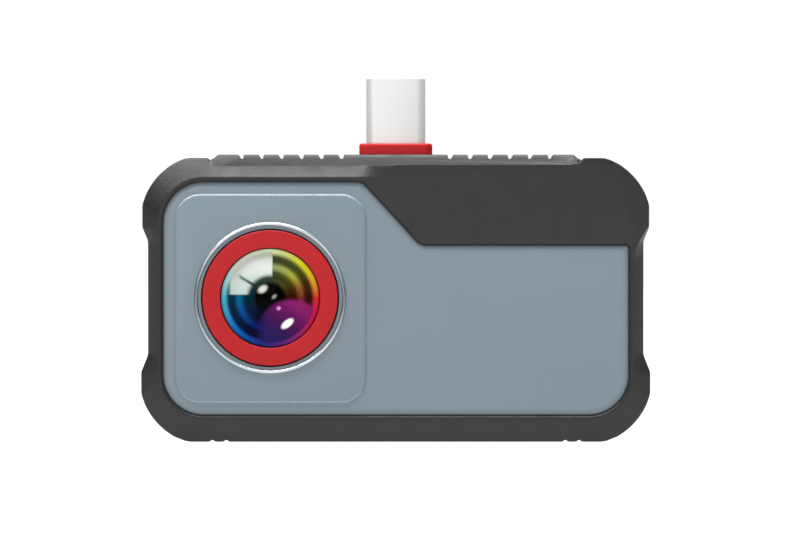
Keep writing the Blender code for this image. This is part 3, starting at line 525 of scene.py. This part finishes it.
def notches():
    """Cutters of the rail: each notch has a steep wall towards the middle and a sloped outer one."""
    bm = bmesh.new()
    for k in range(TOOTH_COUNT):
        c = TOOTH_FIRST_X + TOOTH_PITCH * k
        for s in (-1, 1):
            low, top = FLOOR_Z - 0.015, RAIL_TOP_Z
            pts = [(s * (c - 0.27), low, 0.05), (s * (c + 0.05), low, 0.05), (s * (c + 0.40), top, 0.0),
                   (s * (c + 0.50), top + 0.3, 0.0), (s * (c - 0.50), top + 0.3, 0.0), (s * (c - 0.40), top, 0.0)]
            part = prism(fillet(pts if s > 0 else list(reversed(pts)), 4), -9.0, 9.0)
            tmp = bpy.data.meshes.new("tmp")
            part.to_mesh(tmp)
            part.free()
            bm.from_mesh(tmp)
            bpy.data.meshes.remove(tmp)
    return bm


POCKET = rounded(-31.95, 31.95, 4.05, 35.75, 5.25, 14)
carve(rubber, prism(POCKET, -4.7, 12.0))
# recess for the face panel, with a rounded lip
mouth = [(-9.0, 0.44), (Y_FRAME - 0.02, 0.44), (Y_FRAME + 0.05, 0.31), (Y_FRAME + 0.18, 0.23), (Y_FRAME + 0.32, 0.21),
         (-5.80, 0.20), (-5.78, 0.055), (-4.1, 0.055)]
carve(rubber, loft([[(x, y, z) for x, z in panel_outline(g)] for y, g in mouth]))
COLLAR_W, COLLAR_T, COLLAR_TOP = 10.18, 4.80, 41.50


def collar_slot():
    return prism_z(rounded(-COLLAR_W / 2 - 0.25, COLLAR_W / 2 + 0.25, -COLLAR_T / 2 - 0.25, COLLAR_T / 2 + 0.25,
                           1.5, 10), 34.0, 45.0)


carve(rubber, collar_slot())
grip = put("grip_rail", grip_rail(), RUBBER)
carve(grip, notches())
carve(grip, collar_slot())
bm = bmesh.new()
bm.from_mesh(grip.data)
bmesh.ops.scale(bm, verts=bm.verts, vec=(1 / MM, 1 / MM, 1 / MM))
bpy.data.objects.remove(grip, do_unlink=True)
carve(rubber, bm, "UNION")
shade(rubber, 32)
ride(rubber, "camera_body", "rubber_bumper_frame", slot="black_rubber")

# ============================================================ face panel
PANEL_Y, PANEL_BACK, PLINTH_Y = -6.00, -5.00, -6.30
lens_lo, lens_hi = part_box("front_lens")
LX, LZ = (lens_lo.x + lens_hi.x) / 2 / MM, (lens_lo.z + lens_hi.z) / 2 / MM
rim = [(0.0, PANEL_BACK), (0.0, -5.66), (0.03, -5.74), (0.10, -5.80), (0.50, -5.935), (0.62, -5.97), (0.74, -5.99),
       (0.86, PANEL_Y)]
panel = put("face_plate", loft([[(x, y, z) for x, z in panel_outline(0.025 - g)] for g, y in rim]), PANEL, 30)
plinth_edge = [(-0.02, -5.8), (0.0, -6.0), (0.03, -6.06), (0.10, -6.14), (0.19, -6.23), (0.27, -6.28), (0.38, PLINTH_Y)]
carve(panel, loft([[(x, y, z) for x, z in rounded(-30.65 + s, -4.10 - s, 5.40 + s, 34.45 - s, 3.5 - s, 20)]
                   for s, y in plinth_edge]), "UNION")
BEAD_R, BEAD_W = 10.27, 0.26
bead = [(BEAD_R - BEAD_W, -6.0), (BEAD_R - BEAD_W, -6.29)] + [
    (BEAD_R + BEAD_W * math.cos(math.radians(a)), -6.30 - 0.32 * math.sin(math.radians(a)))
    for a in range(174, 5, -8)] + [(BEAD_R + BEAD_W, -6.29), (BEAD_R + BEAD_W, -6.0)]
carve(panel, turned(bead, LX, LZ, 192), "UNION")
HOLE_R = 9.54
hole = [(0.0, -9.0), (HOLE_R + 0.12, -9.0), (HOLE_R + 0.12, -6.34), (HOLE_R + 0.03, -6.22), (HOLE_R, -6.1),
        (HOLE_R, -4.0), (0.0, -4.0)]
carve(panel, turned(hole, LX, LZ, 192))
shade(panel, 28)
panel.data.materials.append(PANEL_EDGE_PAINTED_HIGHLIGHT)
panel.data.materials.append(BEAD_METAL)
for poly in panel.data.polygons:
    c, n = poly.center / MM, poly.normal
    from_axis = math.hypot(c.x - LX, c.z - LZ)
    on_bead = BEAD_R - BEAD_W - 0.02 < from_axis < BEAD_R + BEAD_W + 0.02 and c.y < -6.302
    on_plinth = (-6.29 < c.y < -6.01 and -30.7 < c.x < -4.0 and from_axis > 10.9 and n.y > -0.97)
    # plinth edge faces that face up or down take the lighter edge copy as a painted highlight; the bead faces take the
    # bead metal with its painted highlight
    across = abs(n.z) > 0.5 * math.hypot(n.x, n.z)
    if on_bead or (on_plinth and across):
        poly.material_index = 2 if on_bead else 1
ride(panel, "camera_body", "face_panel", slot="grey_blue_panel")

# ============================================================ lens ring
ring_prof = [(6.95, -4.95), (6.95, -6.52), (6.97, -6.62), (7.05, -6.69), (7.16, -6.70), (9.18, -6.70), (9.29, -6.69),
             (9.36, -6.63), (9.38, -6.52), (9.38, -5.20), (8.60, -5.20), (8.60, -3.50), (8.05, -3.50), (8.05, -4.95)]
ring = put("red_lens_ring", turned(ring_prof, LX, LZ, 192), RED_RING, 30)
ride(ring, "camera_body", "lens_ring", slot="red_ring")

# ============================================================ collar and plug
def stadium(w, t, n=16, grow=0.0):
    r = t / 2 + grow
    c = w / 2 - t / 2
    return ([(c + r * math.cos(math.radians(-90 + 180 * k / n)), r * math.sin(math.radians(-90 + 180 * k / n)))
             for k in range(n + 1)]
            + [(-c + r * math.cos(math.radians(90 + 180 * k / n)), r * math.sin(math.radians(90 + 180 * k / n)))
               for k in range(n + 1)])


rings = []
for z, s in [(36.0, 0.0), (COLLAR_TOP - 0.36, 0.0)] + [
        (COLLAR_TOP - 0.36 + 0.36 * math.sin(math.radians(a)), 0.36 - 0.36 * math.cos(math.radians(a)))
        for a in range(12, 91, 13)]:
    rings.append([(x, y, z) for x, y in rounded(-COLLAR_W / 2 + s, COLLAR_W / 2 - s, -COLLAR_T / 2 + s,
                                                COLLAR_T / 2 - s, 1.3 - s * 0.6, 10)])
collar = put("red_plug_collar", loft(rings), RED_COLLAR, 30)
carve(collar, prism_z(stadium(8.25 + 0.3, 2.4 + 0.3, 16), 30.0, 46.0))
shade(collar, 32)
ride(collar, "camera_body", "plug_collar", slot="red_collar")

outer, inner = (8.25, 2.40), (7.65, 1.80)
tube = [[(x, y, 31.3) for x, y in stadium(*inner)], [(x, y, 31.3) for x, y in stadium(*outer)]]
for z, g in ((50.45, 0.0), (50.48, -0.01), (50.495, -0.03), (50.50, -0.05)):
    tube.append([(x, y, z) for x, y in stadium(*outer, grow=g)])
tube.append([(x, y, 50.50) for x, y in stadium(*inner, grow=0.05)])
tube.append([(x, y, 50.45) for x, y in stadium(*inner)])
plug = put("plug_steel_shell", loft(tube, caps=False, closed_tube=True), PLUG_STEEL, 32)
ride(plug, "camera_body", "plug_shell", slot="plug_steel")

# ============================================================ front lens
def lens_material():
    """Broad-band coated glass: the coating's colour turns round the rim, thin rings of the elements behind it show
    as lighter and darker arcs about a black pupil, and a painted reflection of a studio window lies across the upper
    left, with painted glints."""
    mat, tree, shader = new_material("coated lens", (0.03, 0.05, 0.1), 0.10, Specular_IOR_Level=0.03)
    DIM = 0.76

    def num(op, a, b=None, c=None):
        node = add(tree, "ShaderNodeMath", operation=op)
        for sock, v in zip(node.inputs, (a, b, c)):
            if v is None:
                continue
            if hasattr(v, "links"):
                tree.links.new(v, sock)
            else:
                sock.default_value = v
        return node.outputs[0]

    def step(v, a, b):
        node = add(tree, "ShaderNodeMapRange", interpolation_type="SMOOTHSTEP")
        node.inputs["From Min"].default_value, node.inputs["From Max"].default_value = min(a, b), max(a, b)
        node.inputs["To Min"].default_value, node.inputs["To Max"].default_value = (0, 1) if a < b else (1, 0)
        tree.links.new(v, node.inputs["Value"])
        return node.outputs["Result"]

    def times(*masks):
        out = masks[0]
        for m in masks[1:]:
            out = num("MULTIPLY", out, m)
        return out

    def ramp(fac, stops, lit=True, dim=DIM):
        node = add(tree, "ShaderNodeValToRGB")
        cr = node.color_ramp
        stops = sorted(stops)
        cr.elements[0].position, cr.elements[-1].position = stops[0][0], stops[-1][0]
        for pos, _ in stops[1:-1]:
            cr.elements.new(pos)
        for el, (pos, col) in zip(cr.elements, stops):
            el.color = (*[(c / 255.0) ** 2.2 * (dim if lit else 1.0) for c in col], 1.0)
        tree.links.new(fac, node.inputs["Fac"])
        return node.outputs["Color"]

    sep = add(tree, "ShaderNodeSeparateXYZ")
    tree.links.new(object_coords(tree), sep.inputs[0])
    u = num("MULTIPLY_ADD", sep.outputs["X"], 1 / (6.8 * MM), -LX / 6.8)
    v = num("MULTIPLY_ADD", sep.outputs["Z"], 1 / (6.8 * MM), -LZ / 6.8)
    r = num("SQRT", num("ADD", num("MULTIPLY", u, u), num("MULTIPLY", v, v)))
    turn = num("MULTIPLY_ADD", num("ARCTAN2", v, u), 1 / (2 * math.pi), 0.5)

    def at(deg):
        return (deg + 180.0) / 360.0

    # coating colour round the rim, partly painted reflection: the pale green-white stops over the upper left carry the
    # painted window reflection out to the edge
    rim = ramp(turn, [(0.0, (70, 172, 190)), (at(-160), (60, 150, 195)), (at(-140), (20, 110, 185)),
                      (at(-120), (15, 80, 160)), (at(-100), (40, 50, 130)), (at(-80), (80, 50, 140)),
                      (at(-60), (130, 50, 130)), (at(-40), (175, 40, 95)), (at(-20), (195, 30, 75)),
                      (at(0), (205, 45, 42)), (at(15), (215, 140, 40)), (at(30), (215, 195, 40)),
                      (at(50), (220, 225, 45)), (at(68), (210, 228, 120)), (at(92), (218, 240, 200)),
                      (at(122), (208, 236, 208)), (at(142), (190, 230, 220)), (at(162), (140, 210, 212)),
                      (1.0, (70, 172, 190))], dim=1.10)
    inner = ramp(turn, [(0.0, (12, 110, 150)), (at(-150), (12, 75, 150)), (at(-120), (14, 35, 110)),
                        (at(-85), (40, 30, 105)), (at(-50), (100, 30, 105)), (at(-20), (130, 35, 100)),
                        (at(0), (125, 50, 42)), (at(20), (150, 100, 48)), (at(45), (172, 178, 66)),
                        (at(70), (158, 168, 96)), (at(95), (126, 148, 112)), (at(125), (110, 150, 135)),
                        (at(155), (40, 110, 120)), (1.0, (12, 110, 150))])
    arcs = ramp(r, [(0.0, (0, 0, 0)), (0.28, (4, 4, 4)), (0.37, (105, 105, 105)), (0.45, (88, 88, 88)),
                    (0.53, (120, 120, 120)), (0.60, (225, 225, 225)), (0.655, (245, 245, 245)), (0.71, (150, 150, 150)),
                    (0.76, (98, 98, 98)), (0.83, (120, 120, 120)), (0.90, (205, 205, 205)), (1.0, (255, 255, 255))],
                lit=False)
    colour = colour_mix(tree, 1.0, inner, arcs, "MULTIPLY")
    colour = colour_mix(tree, step(r, 0.84, 0.95), colour, rim)
    # violet disc of the second coating, low on the right
    du, dv = num("ADD", u, -0.437), num("ADD", v, 0.74)
    disc = step(num("SQRT", num("ADD", num("MULTIPLY", du, du), num("MULTIPLY", dv, dv))), 0.745, 0.655)
    disc = times(disc, step(r, 0.98, 0.86), step(u, -0.38, -0.02))
    lift = num("MULTIPLY_ADD", num("ADD", num("ADD", dv, -0.29), num("MULTIPLY", num("ADD", du, -0.013), 0.75)), 0.48, 0.5)
    violet = ramp(lift, [(0.18, (44, 36, 100)), (0.30, (58, 30, 92)), (0.42, (80, 26, 86)), (0.55, (106, 30, 99)),
                         (0.66, (136, 37, 105)), (0.78, (148, 36, 98))])
    colour = colour_mix(tree, disc, colour, violet)
    # painted reflection of a studio window: two panes with a slanting bar, cut off by the pupil
    bar = num("ADD", num("MULTIPLY_ADD", u, 0.503, num("MULTIPLY", v, 0.865)), -0.063)
    bar_mask = num("MAXIMUM", step(num("ABSOLUTE", bar), 0.0, 0.055), step(u, -0.52, -0.70))
    painted_window_reflection = times(step(u, 0.065, 0.03), step(v, 0.05, 0.085), step(u, -0.86, -0.78), step(r, 0.40, 0.52),
                 step(r, 1.0, 0.90), bar_mask)
    window_reflection_colour = ramp(num("MULTIPLY_ADD", v, 0.7, 0.2), [(0.2, (190, 212, 204)), (0.5, (212, 224, 216)), (0.72, (228, 232, 226)),
                                                    (0.85, (206, 232, 198))])
    reflection_streak = noise(tree, object_coords(tree), 420.0, 3.0)
    painted_window_reflection = times(painted_window_reflection, remap(tree, reflection_streak, 0.3, 0.7, 0.86, 0.98))
    colour = colour_mix(tree, painted_window_reflection, colour, window_reflection_colour)

    def painted_glint(cu, cv, a, b, deg, col, soft=0.35, power=1.0):
        nonlocal colour
        t = math.radians(deg)
        x, z = num("ADD", u, -cu), num("ADD", v, -cv)
        p = num("ADD", num("MULTIPLY", x, math.cos(t) / a), num("MULTIPLY", z, math.sin(t) / a))
        q = num("ADD", num("MULTIPLY", x, -math.sin(t) / b), num("MULTIPLY", z, math.cos(t) / b))
        d = num("SQRT", num("ADD", num("MULTIPLY", p, p), num("MULTIPLY", q, q)))
        m = num("MULTIPLY", step(d, 1.0 + soft, 1.0 - soft), power)
        colour = colour_mix(tree, m, colour, tuple((c / 255.0) ** 2.2 * (1.0 if min(col) > 240 else DIM) for c in col))

    # painted highlights: a white glint low on the right, fainter grey and pink glints about the pupil
    painted_glint(0.354, -0.525, 0.138, 0.068, 38, (255, 252, 255), 0.35)
    painted_glint(-0.149, 0.179, 0.098, 0.066, 35, (215, 215, 208), 0.5)
    painted_glint(0.088, 0.026, 0.050, 0.032, 45, (165, 170, 165), 0.7, 0.85)
    painted_glint(0.177, -0.213, 0.040, 0.036, 30, (232, 150, 218), 0.6)
    tree.links.new(colour, shader.inputs["Base Color"])
    dust = remap(tree, noise(tree, object_coords(tree), 700.0, 5.0), 0.45, 0.75, 0.05, 0.16)
    tree.links.new(dust, shader.inputs["Roughness"])
    bump(tree, shader, noise(tree, object_coords(tree), 5000.0, 2.0), 0.0000008)
    return mat


LENS_R, LENS_EDGE, LENS_APEX, LENS_BACK = 6.80, -5.90, -7.00, -4.95
sag = LENS_EDGE - LENS_APEX
ball = (LENS_R ** 2 + sag ** 2) / (2 * sag)
dome = [(0.0, LENS_APEX)]
for i in range(1, 33):
    rr = (LENS_R - 0.08) * i / 32
    dome.append((rr, LENS_APEX + ball - math.sqrt(ball * ball - rr * rr)))
dome += [(LENS_R - 0.02, LENS_EDGE + 0.02), (LENS_R, LENS_EDGE + 0.10), (LENS_R, LENS_BACK - 0.08),
         (LENS_R - 0.08, LENS_BACK), (0.0, LENS_BACK)]
lens = put("front_glass", turned(dome, LX, LZ, 160), lens_material(), 30)
ride(lens, "camera_body", "front_lens", slot="coated_lens")

# ============================================================ rear cover
bm = bmesh.new()
bm.from_mesh(NODES["rear_shell"].data)
bmesh.ops.scale(bm, verts=bm.verts, vec=(1 / MM, 1 / MM, 1 / MM))
rear = put("rear_cover", bm, NYLON, 30)
body = [(-8.0, -0.8), (6.35, -0.8), (6.50, -0.005), (6.62, 0.02), (6.76, 0.08), (6.88, 0.18), (6.955, 0.31), (6.99, 0.46)]
carve(rear, loft([[(x, y, z) for x, z in rounded(-31.9 + s, 31.9 - s, 4.1 + s, 35.7 - s, 5.2 - s, 16)] for y, s in body]),
      "INTERSECT")
field = [(6.84, 0.10), (6.86, 0.03), (6.90, 0.0), (6.95, -0.02), (7.03, -0.08), (8.0, -0.08)]
carve(rear, loft([[(x, y, z) for x, z in rounded(-20.0 + s, 20.0 - s, 11.2 + s, 28.6 - s, 1.6 - s, 10)] for y, s in field]))
shade(rear, 9)
ride(rear, "camera_body", "rear_shell", slot="black_nylon")

# ============================================================ finishes of the CAD nodes that stay
FINISH = {
    "black_rubber": RUBBER,
    "black_nylon": NYLON,
    "grey_blue_panel": PANEL,
    "red_ring": RED_RING,
    "red_collar": RED_COLLAR,
    "plug_steel": PLUG_STEEL,
    "screw_steel": BLACK_STEEL,
    "adhesive_film": textured("adhesive film", (0.012, 0.012, 0.013), 0.55, grain=1800.0, grain_depth=0.000008),
    "seal_rubber": textured("seal rubber", (0.012, 0.012, 0.012), 0.60, grain=2400.0, grain_depth=0.00001),
    "blade_paint": textured("matt black blade", (0.012, 0.012, 0.013), 0.70, grain=5000.0, grain_depth=0.000006),
    "magnet_plate": textured("nickel plate", (0.60, 0.59, 0.56), 0.22, 1.0, grain=1500.0, grain_depth=0.000003),
    "bobbin_nylon": textured("bobbin nylon", (0.62, 0.58, 0.48), 0.45, grain=2600.0, grain_depth=0.000008),
    "package_ceramic": textured("ceramic", (0.62, 0.60, 0.56), 0.50, grain=6000.0, grain_depth=0.000004),
    "germanium": textured("germanium", (0.20, 0.21, 0.22), 0.08, 1.0, grain=900.0, grain_depth=0.0000005,
                          mottle=0.04, rough_spread=0.03),
    "array_silicon": textured("array silicon", (0.16, 0.12, 0.20), 0.12, 1.0, grain=9000.0, grain_depth=0.000002,
                              mottle=0.10, rough_spread=0.04),
    "chip_epoxy": textured("chip epoxy", (0.018, 0.018, 0.019), 0.55, grain=7000.0, grain_depth=0.000010),
    "connector_nylon": textured("connector nylon", (0.60, 0.56, 0.45), 0.45, grain=3000.0, grain_depth=0.000008),
    "polyimide_flex": textured("polyimide", (0.42, 0.17, 0.025), 0.28, grain=1200.0, grain_depth=0.000004, mottle=0.10),
    "tinned_can": textured("tinned steel", (0.62, 0.62, 0.60), 0.34, 1.0, grain=1400.0, grain_depth=0.000006),
    "silicone_pad": textured("silicone pad", (0.28, 0.38, 0.55), 0.65, grain=2200.0, grain_depth=0.00002),
    "contact_gold": textured("contact gold", (0.85, 0.58, 0.22), 0.22, 1.0, grain=2400.0, grain_depth=0.000002,
                             mottle=0.06),
    "insulator_lcp": textured("liquid crystal polymer", (0.014, 0.014, 0.015), 0.42, grain=4200.0,
                              grain_depth=0.000008),
}


def lined(name, rgb, rough, metal, axis, scale, depth, **sockets):
    """A surface with fine parallel lines across one axis: turned, stamped, rolled or wound."""
    mat = textured(name, rgb, rough, metal, grain_depth=0, **sockets)
    tree = mat.node_tree
    shader = tree.nodes["Principled BSDF"]
    wave = add(tree, "ShaderNodeTexWave", wave_type="BANDS", bands_direction=axis)
    wave.inputs["Scale"].default_value = scale
    wave.inputs["Distortion"].default_value = 0.6
    wave.inputs["Detail"].default_value = 2.0
    tree.links.new(object_coords(tree), wave.inputs["Vector"])
    bump(tree, shader, wave.outputs["Fac"], depth)
    return mat


FINISH["black_anodised"] = lined("black anodised", (0.016, 0.016, 0.017), 0.42, 0.6, "Y", 1500.0, 0.00001)
FINISH["yoke_iron"] = lined("stamped iron", (0.42, 0.41, 0.39), 0.38, 1.0, "X", 900.0, 0.000004)
FINISH["enamelled_copper"] = lined("enamelled copper", (0.58, 0.20, 0.07), 0.25, 0.8, "Y", 1600.0, 0.00003)
FINISH["spreader_aluminium"] = lined("rolled aluminium", (0.70, 0.70, 0.71), 0.36, 1.0, "Z", 1200.0, 0.000004)


def board_material():
    """Green solder mask over copper tracks, which show as slightly raised, lighter lines."""
    mat = textured("solder mask", (0.010, 0.085, 0.045), 0.30, grain_depth=0, mottle=0.08)
    tree = mat.node_tree
    shader = tree.nodes["Principled BSDF"]
    brick = add(tree, "ShaderNodeTexBrick")
    brick.inputs["Scale"].default_value = 420.0
    brick.inputs["Mortar Size"].default_value = 0.03
    brick.inputs["Color1"].default_value = brick.inputs["Color2"].default_value = (1, 1, 1, 1)
    brick.inputs["Mortar"].default_value = (0, 0, 0, 1)
    turn = add(tree, "ShaderNodeMapping")
    turn.inputs["Rotation"].default_value = (math.radians(90), 0, 0)
    tree.links.new(object_coords(tree), turn.inputs["Vector"])
    tree.links.new(turn.outputs[0], brick.inputs["Vector"])
    colour = shader.inputs["Base Color"].links[0].from_socket
    tree.links.new(colour_mix(tree, brick.outputs["Fac"], colour, (0.03, 0.16, 0.08)), shader.inputs["Base Color"])
    bump(tree, shader, brick.outputs["Fac"], 0.00002)
    return mat


FINISH["solder_mask"] = board_material()

SLOTS = {part["node"]: part["material_slot"] for part in frame["record"]["subparts"] if part.get("material_slot")}
for node, obj in NODES.items():
    finish = FINISH.get(SLOTS.get(node, ""), NYLON)
    if not obj.material_slots:
        obj.data.materials.append(finish)
    for slot in obj.material_slots:
        slot.material = finish

# ============================================================ stage, light and camera
def area(name, loc, target, size, size_y, power, colour=(1, 1, 1)):
    data = bpy.data.lights.new(name, "AREA")
    data.shape = "RECTANGLE"
    data.size, data.size_y, data.energy, data.color = size, size_y, power, colour
    obj = bpy.data.objects.new(name, data)
    obj.location = loc
    obj.rotation_euler = (Vector(target) - Vector(loc)).to_track_quat("-Z", "Y").to_euler()
    scene.collection.objects.link(obj)
    return obj


world = bpy.data.worlds.new("studio")
scene.world = world
world.use_nodes = True
wtree = world.node_tree
soft = wtree.nodes["Background"]
soft.inputs["Color"].default_value = (1, 1, 1, 1)
soft.inputs["Strength"].default_value = 0.50
paper = add(wtree, "ShaderNodeBackground")
paper.inputs["Color"].default_value = (1, 1, 1, 1)
paper.inputs["Strength"].default_value = 1.05
seen = add(wtree, "ShaderNodeLightPath")
both = add(wtree, "ShaderNodeMixShader")
way = add(wtree, "ShaderNodeTexCoord")
parts = add(wtree, "ShaderNodeSeparateXYZ")
wtree.links.new(way.outputs["Generated"], parts.inputs[0])
sideways = add(wtree, "ShaderNodeMath", operation="ABSOLUTE")
wtree.links.new(parts.outputs["X"], sideways.inputs[0])
left = add(wtree, "ShaderNodeMath", operation="LESS_THAN")
wtree.links.new(parts.outputs["X"], left.inputs[0])
left.inputs[1].default_value = 0.0
edge = remap(wtree, left.outputs[0], 0.0, 1.0, 0.34, 0.06)
fade = remap(wtree, sideways.outputs[0], 0.30, 0.95, 0.42, 0.0)
wtree.links.new(edge, fade.node.inputs["To Max"])
wtree.links.new(fade, soft.inputs["Strength"])
wtree.links.new(seen.outputs["Is Camera Ray"], both.inputs[0])
wtree.links.new(soft.outputs[0], both.inputs[1])
wtree.links.new(paper.outputs[0], both.inputs[2])
wtree.links.new(both.outputs[0], wtree.nodes["World Output"].inputs["Surface"])

floor_mat, ftree, fshader = new_material("pale floor", (0.08, 0.08, 0.08), 0.9)
fshader.inputs["Emission Color"].default_value = (1, 1, 1, 1)
fshader.inputs["Emission Strength"].default_value = 1.26
bm = bmesh.new()
bmesh.ops.create_grid(bm, x_segments=1, y_segments=1, size=20000.0)
floor = put("floor", bm, floor_mat, merge=0)


def aimed(name, azimuth, elevation, distance, size, size_y, radiance, target=(LX * MM, -0.006, LZ * MM), shape="RECTANGLE"):
    """Soft box seen from the target at an azimuth (right of the front) and an elevation, with a given radiance."""
    a, e = math.radians(azimuth), math.radians(elevation)
    at = Vector(target) + distance * Vector((math.sin(a) * math.cos(e), -math.cos(a) * math.cos(e), math.sin(e)))
    surface = size * size_y * (math.pi / 4 if shape == "ELLIPSE" else 1.0)
    box = area(name, at, target, size, size_y, radiance * math.pi * surface)
    box.data.shape = shape
    box.visible_camera = False
    return box


aimed("window_box", -12.0, 17.5, 0.5, 0.27, 0.27, 1.4)
top = area("overhead_box", (-0.070, -0.055, 0.53), (0, 0, 0), 0.66, 0.30, 13.3 * math.pi * 0.66 * 0.30)
top.rotation_euler = (math.radians(6.0), math.radians(-13.5), 0.0)
top.visible_camera = False

cam_data = bpy.data.cameras.new("camera")
cam_data.sensor_width = 36.0
DIST = 1.2
cam_data.lens = 36.0 * DIST / 0.1115
cam_data.clip_start, cam_data.clip_end = 0.05, 20.0
cam = bpy.data.objects.new("camera", cam_data)
cam.location = (0.00059, -DIST, 0.02248)
cam.rotation_euler = (math.radians(90), 0, 0)
scene.collection.objects.link(cam)
scene.camera = cam
scene.view_settings.view_transform = "Standard"
scene.view_settings.look = "None"

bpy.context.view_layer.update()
import json
